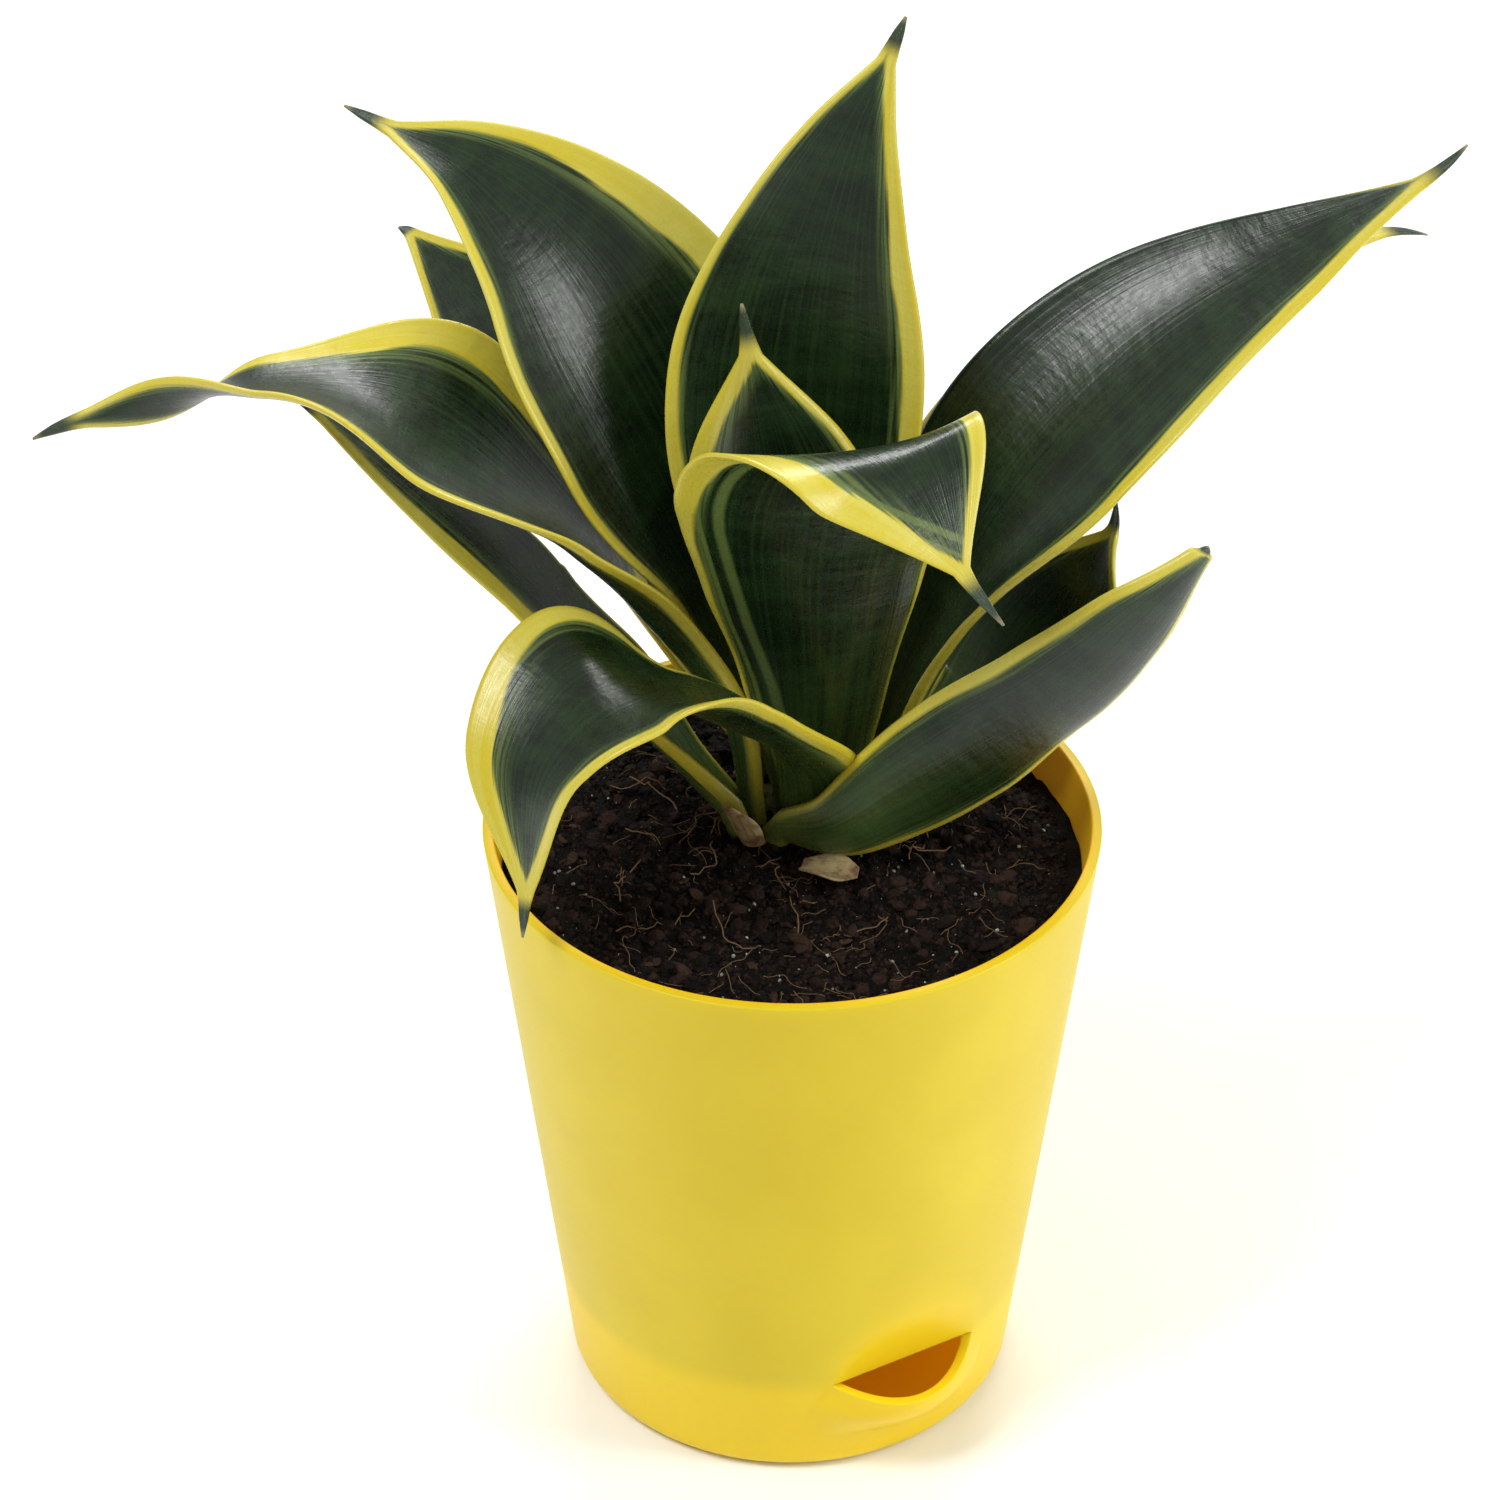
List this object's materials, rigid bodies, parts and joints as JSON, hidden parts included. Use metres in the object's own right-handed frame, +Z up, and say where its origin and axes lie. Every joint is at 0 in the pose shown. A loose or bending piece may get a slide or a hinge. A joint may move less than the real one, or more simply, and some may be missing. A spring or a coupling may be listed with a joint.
{
  "type": "potted snake plant",
  "caption": "Dwarf snake plant, a rosette of broad yellow-edged leaves, in a round self-watering pot with a water inlet near its foot.",
  "frame": {"origin": "centre of the pot's flat base, on the surface it stands on", "axes": "+Z up along the pot's axis, -Y towards the plant's front, +X to the right seen from the front"},
  "size_m": [0.2353, 0.1335, 0.2364],
  "materials": {
    "pot_plastic": "satin, slightly translucent yellow",
    "plate_plastic": "satin yellow",
    "soil": "rough dark brown peat mix",
    "crown_tissue": "pale green-brown, satin",
    "leaf_tissue": "satin dark green with yellow margins",
    "dry_scale": "dry, matt, papery brown"
  },
  "bodies": {
    "root": {"self_watering_pot": "pot_plastic", "separator_plate": "plate_plastic", "potting_soil": "soil", "rhizome_crown": "crown_tissue", "leaf_left_long": "leaf_tissue", "leaf_left_tall": "leaf_tissue", "leaf_left_low": "leaf_tissue", "leaf_back_left": "leaf_tissue", "leaf_back_right": "leaf_tissue", "leaf_centre_tall": "leaf_tissue", "leaf_centre_spear": "leaf_tissue", "leaf_right_long": "leaf_tissue", "leaf_right_low": "leaf_tissue", "leaf_front_folded": "leaf_tissue", "leaf_front_left": "leaf_tissue", "leaf_front_right": "leaf_tissue", "dry_scale_front": "dry_scale", "dry_scale_left": "dry_scale"}
  },
  "joints": []
}
